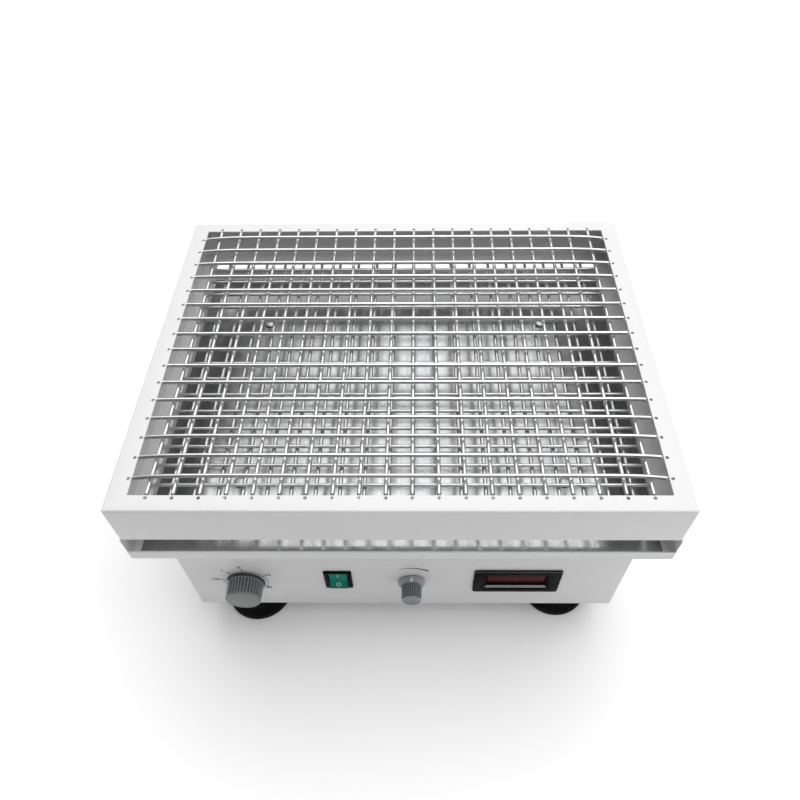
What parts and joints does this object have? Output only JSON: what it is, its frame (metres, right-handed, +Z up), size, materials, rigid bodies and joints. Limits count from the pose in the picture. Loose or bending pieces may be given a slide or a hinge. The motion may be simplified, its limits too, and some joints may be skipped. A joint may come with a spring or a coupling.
{
  "type": "orbital shaker",
  "caption": "Bench orbital shaker with a spring-net platform on an eccentric drive, control cabinet with timer, switch, speed knob and meter, rubber feet.",
  "frame": {"origin": "on the bench plane under the feet, at the centre of the whole object's box", "axes": "+X to the right of the control panel, +Y to the rear, +Z up"},
  "size_m": [0.4426, 0.361, 0.2426],
  "materials": {
    "white_enamel": "white baked enamel, satin",
    "stainless": "bright stainless sheet, semi-mirror",
    "spring_steel": "bright close-wound spring wire",
    "black_rubber": "matte moulded rubber",
    "zinc_steel": "zinc plated",
    "cast_iron": "dark painted casting",
    "machined_aluminium": "machined",
    "grey_plastic": "moulded, fluted grip",
    "black_plastic": "moulded",
    "green_plastic": "translucent gloss",
    "red_window": "dark red display window",
    "circuit_board": "solder mask"
  },
  "bodies": {
    "base": {"base_plate": "zinc_steel", "cabinet_shell": "white_enamel", "control_board": "circuit_board", "drive_belt": "black_rubber", "drive_plate": "zinc_steel", "foot_front_left": "black_rubber", "foot_front_right": "black_rubber", "foot_rear_left": "black_rubber", "foot_rear_right": "black_rubber", "foot_screw_front_left": "zinc_steel", "foot_screw_front_right": "zinc_steel", "foot_screw_rear_left": "zinc_steel", "foot_screw_rear_right": "zinc_steel", "fuse_holder": "black_plastic", "idler_housing_front_left": "cast_iron", "idler_housing_front_right": "cast_iron", "idler_housing_rear_left": "cast_iron", "idler_housing_rear_right": "cast_iron", "main_bearing_housing": "cast_iron", "meter_bezel": "black_plastic", "meter_window": "red_window", "motor": "cast_iron", "pillar_1": "machined_aluminium", "pillar_2": "machined_aluminium", "pillar_3": "machined_aluminium", "pillar_4": "machined_aluminium", "potentiometer": "zinc_steel", "power_inlet": "black_plastic", "rocker_housing": "black_plastic", "shell_screw_left_front": "zinc_steel", "shell_screw_left_rear": "zinc_steel", "shell_screw_right_front": "zinc_steel", "shell_screw_right_rear": "zinc_steel", "timer_body": "black_plastic"},
    "tray": {"tray_frame": "white_enamel", "tray_pan": "white_enamel", "floor_plate": "stainless", "upper_spring_net": "spring_steel", "lower_spring_net": "spring_steel", "tray_hub": "machined_aluminium", "corner_bearing_front_left": "machined_aluminium", "corner_bearing_front_right": "machined_aluminium", "corner_bearing_rear_left": "machined_aluminium", "corner_bearing_rear_right": "machined_aluminium", "floor_screw_front_left": "zinc_steel", "floor_screw_front_right": "zinc_steel", "floor_screw_rear_left": "zinc_steel", "floor_screw_rear_right": "zinc_steel"},
    "main_crank": {"main_crank": "zinc_steel", "main_pulley": "machined_aluminium", "counterweight": "cast_iron"},
    "motor_rotor": {"motor_shaft": "zinc_steel", "motor_pulley": "machined_aluminium"},
    "timer_knob": {"timer_knob": "grey_plastic"},
    "speed_knob": {"speed_knob": "grey_plastic"},
    "rocker_button": {"rocker_button": "green_plastic"},
    "idler_crank_front_left": {"idler_crank_front_left": "zinc_steel"},
    "idler_crank_front_right": {"idler_crank_front_right": "zinc_steel"},
    "idler_crank_rear_left": {"idler_crank_rear_left": "zinc_steel"},
    "idler_crank_rear_right": {"idler_crank_rear_right": "zinc_steel"}
  },
  "joints": [
    {"name": "crank_spin", "type": "hinge", "parent": "base", "child": "main_crank", "pos_m": [0, 0.0065, 0.1], "axis": [0, 0, 1], "continuous": true},
    {"name": "tray_orbit", "type": "hinge", "parent": "main_crank", "child": "tray", "pos_m": [0, -0.0035, 0.155], "axis": [0, 0, 1], "continuous": true},
    {"name": "motor_spin", "type": "hinge", "parent": "base", "child": "motor_rotor", "pos_m": [-0.096, 0.074, 0.1], "axis": [0, 0, 1], "continuous": true},
    {"name": "idler_spin_front_left", "type": "hinge", "parent": "base", "child": "idler_crank_front_left", "pos_m": [-0.143, -0.096, 0.12], "axis": [0, 0, 1], "continuous": true},
    {"name": "idler_spin_front_right", "type": "hinge", "parent": "base", "child": "idler_crank_front_right", "pos_m": [0.143, -0.096, 0.12], "axis": [0, 0, 1], "continuous": true},
    {"name": "idler_spin_rear_left", "type": "hinge", "parent": "base", "child": "idler_crank_rear_left", "pos_m": [-0.143, 0.109, 0.12], "axis": [0, 0, 1], "continuous": true},
    {"name": "idler_spin_rear_right", "type": "hinge", "parent": "base", "child": "idler_crank_rear_right", "pos_m": [0.143, 0.109, 0.12], "axis": [0, 0, 1], "continuous": true},
    {"name": "timer_turn", "type": "hinge", "parent": "base", "child": "timer_knob", "pos_m": [-0.1461, -0.16, 0.0845], "axis": [0, -1, 0], "range_deg": [-300, 20]},
    {"name": "speed_turn", "type": "hinge", "parent": "base", "child": "speed_knob", "pos_m": [0.0083, -0.16, 0.0845], "axis": [0, -1, 0], "range_deg": [-270, 20]},
    {"name": "rocker_tilt", "type": "hinge", "parent": "base", "child": "rocker_button", "pos_m": [-0.0595, -0.1584, 0.0895], "axis": [1, 0, 0], "range_deg": [0, 18]}
  ],
  "couplings": [
    {"joint": "tray_orbit", "follows": "crank_spin", "ratio": -1},
    {"joint": "motor_spin", "follows": "crank_spin", "ratio": 3.8676},
    {"joint": "idler_spin_front_left", "follows": "crank_spin", "ratio": 1},
    {"joint": "idler_spin_front_right", "follows": "crank_spin", "ratio": 1},
    {"joint": "idler_spin_rear_left", "follows": "crank_spin", "ratio": 1},
    {"joint": "idler_spin_rear_right", "follows": "crank_spin", "ratio": 1}
  ]
}
